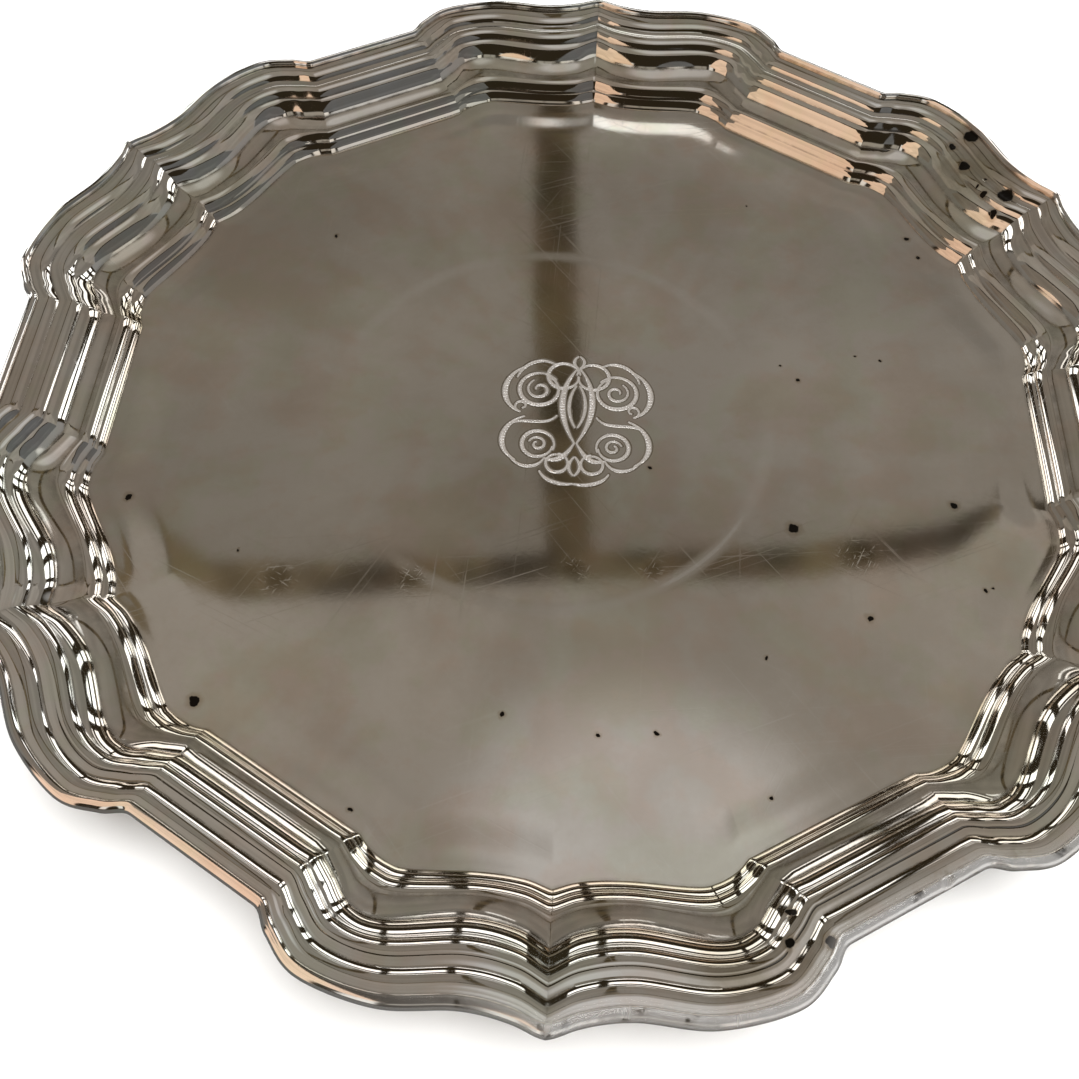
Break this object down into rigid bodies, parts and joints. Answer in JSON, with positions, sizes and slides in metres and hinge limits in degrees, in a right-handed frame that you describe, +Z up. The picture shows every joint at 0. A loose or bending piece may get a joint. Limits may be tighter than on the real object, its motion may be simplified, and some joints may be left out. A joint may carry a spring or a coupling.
{
  "type": "silver salver",
  "caption": "Shallow footed serving tray with a lobed, cusped moulded border, rolled lip and engraved centre.",
  "frame": {"origin": "on the surface the tray stands on, under the centre of the well", "axes": "+Z up through the centre of the well; a border cusp and a foot lie towards -Y"},
  "size_m": [0.2964, 0.3052, 0.0329],
  "materials": {
    "plate_silver": "satin from years of polishing, warm tarnish, fine scratches",
    "border_silver": "bright polish with tarnish in the hollows",
    "lip_silver": "bright, worn and nicked",
    "foot_silver": "dull cast silver"
  },
  "bodies": {
    "root": {"plate": "plate_silver", "border_section_1": "border_silver", "border_section_2": "border_silver", "border_section_3": "border_silver", "border_section_4": "border_silver", "border_section_5": "border_silver", "border_section_6": "border_silver", "lip_wire_1": "lip_silver", "lip_wire_2": "lip_silver", "lip_wire_3": "lip_silver", "lip_wire_4": "lip_silver", "lip_wire_5": "lip_silver", "lip_wire_6": "lip_silver", "foot_1": "foot_silver", "foot_2": "foot_silver", "foot_3": "foot_silver"}
  },
  "joints": []
}
